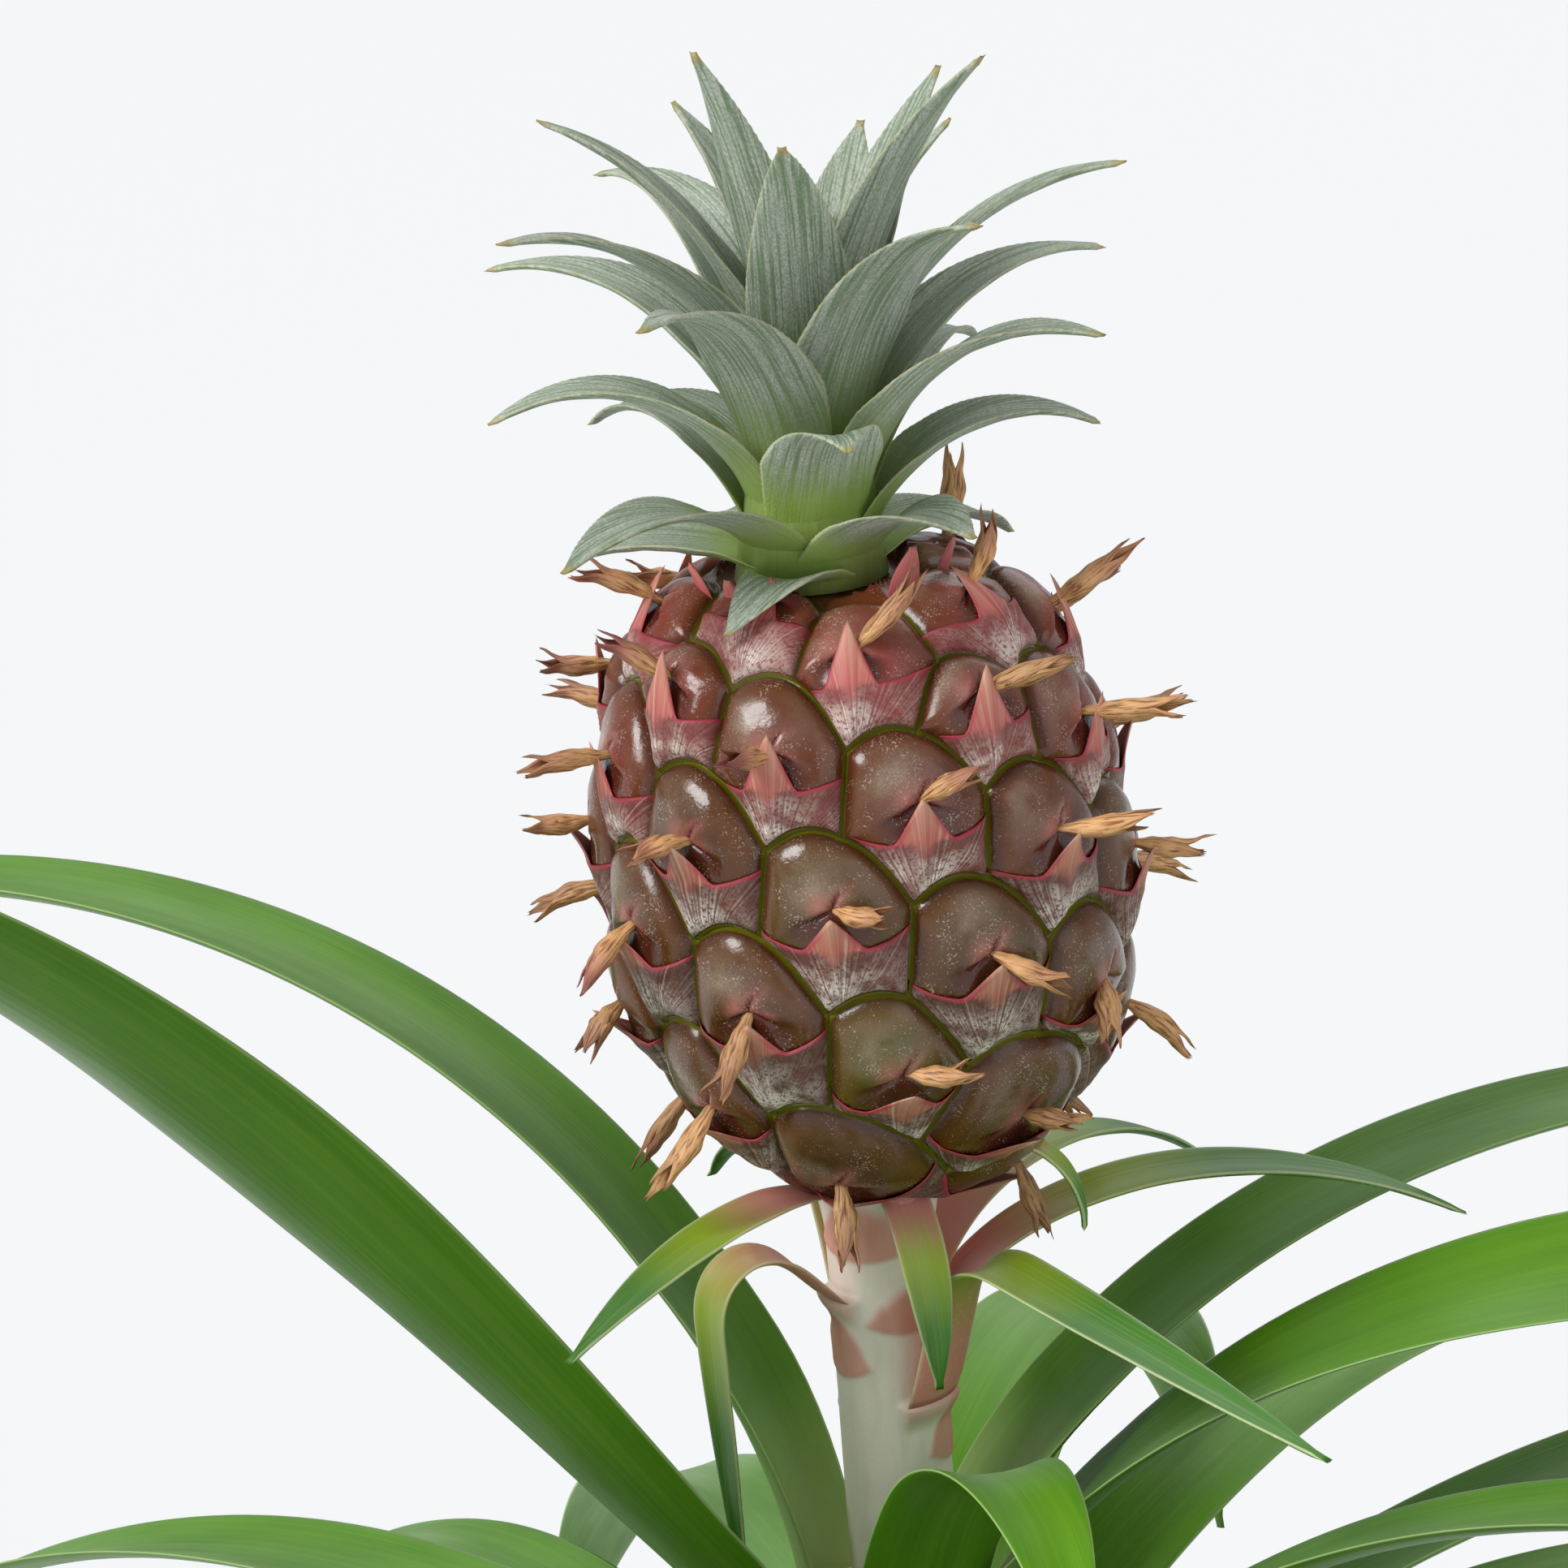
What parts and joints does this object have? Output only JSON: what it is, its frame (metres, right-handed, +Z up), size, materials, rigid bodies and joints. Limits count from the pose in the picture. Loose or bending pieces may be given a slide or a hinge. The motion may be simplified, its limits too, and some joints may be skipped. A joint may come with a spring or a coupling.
{
  "type": "potted ornamental pineapple plant",
  "caption": "Dwarf pineapple plant in a plain round pot: a rosette of arching strap leaves, a stalk with small leaves, and a scaly fruit under a leafy crown.",
  "frame": {"origin": "centre of the pot's flat underside", "axes": "+Z up along the pot's axis; -Y towards the front, which is the side the picture shows; +X to the right as seen from the front"},
  "size_m": [0.4554, 0.4662, 0.3477],
  "materials": {
    "terracotta": "matt unglazed clay",
    "soil": "crumbly dark potting soil",
    "stem": "floury pale green-white",
    "leaf": "glossy mid green",
    "stalk_leaf": "satin yellow-green with pink base",
    "fruit": "satin brown with pink scales and tan dried flowers",
    "crown": "scurfy grey-green"
  },
  "bodies": {
    "root": {"pot": "terracotta", "soil": "soil", "stem": "stem", "leaf_01": "leaf", "leaf_02": "leaf", "leaf_03": "leaf", "leaf_04": "leaf", "leaf_05": "leaf", "leaf_06": "leaf", "leaf_07": "leaf", "leaf_08": "leaf", "leaf_09": "leaf", "leaf_10": "leaf", "leaf_11": "leaf", "leaf_12": "leaf", "leaf_13": "leaf", "leaf_14": "leaf", "leaf_15": "leaf", "leaf_16": "leaf", "leaf_17": "leaf", "leaf_18": "leaf", "leaf_19": "leaf", "leaf_20": "leaf", "leaf_21": "leaf", "leaf_22": "leaf", "leaf_23": "leaf", "leaf_24": "leaf", "stalk_leaf_1": "stalk_leaf", "stalk_leaf_2": "stalk_leaf", "stalk_leaf_3": "stalk_leaf", "stalk_leaf_4": "stalk_leaf", "stalk_leaf_5": "stalk_leaf", "fruit": "fruit", "crown": "crown"}
  },
  "joints": []
}
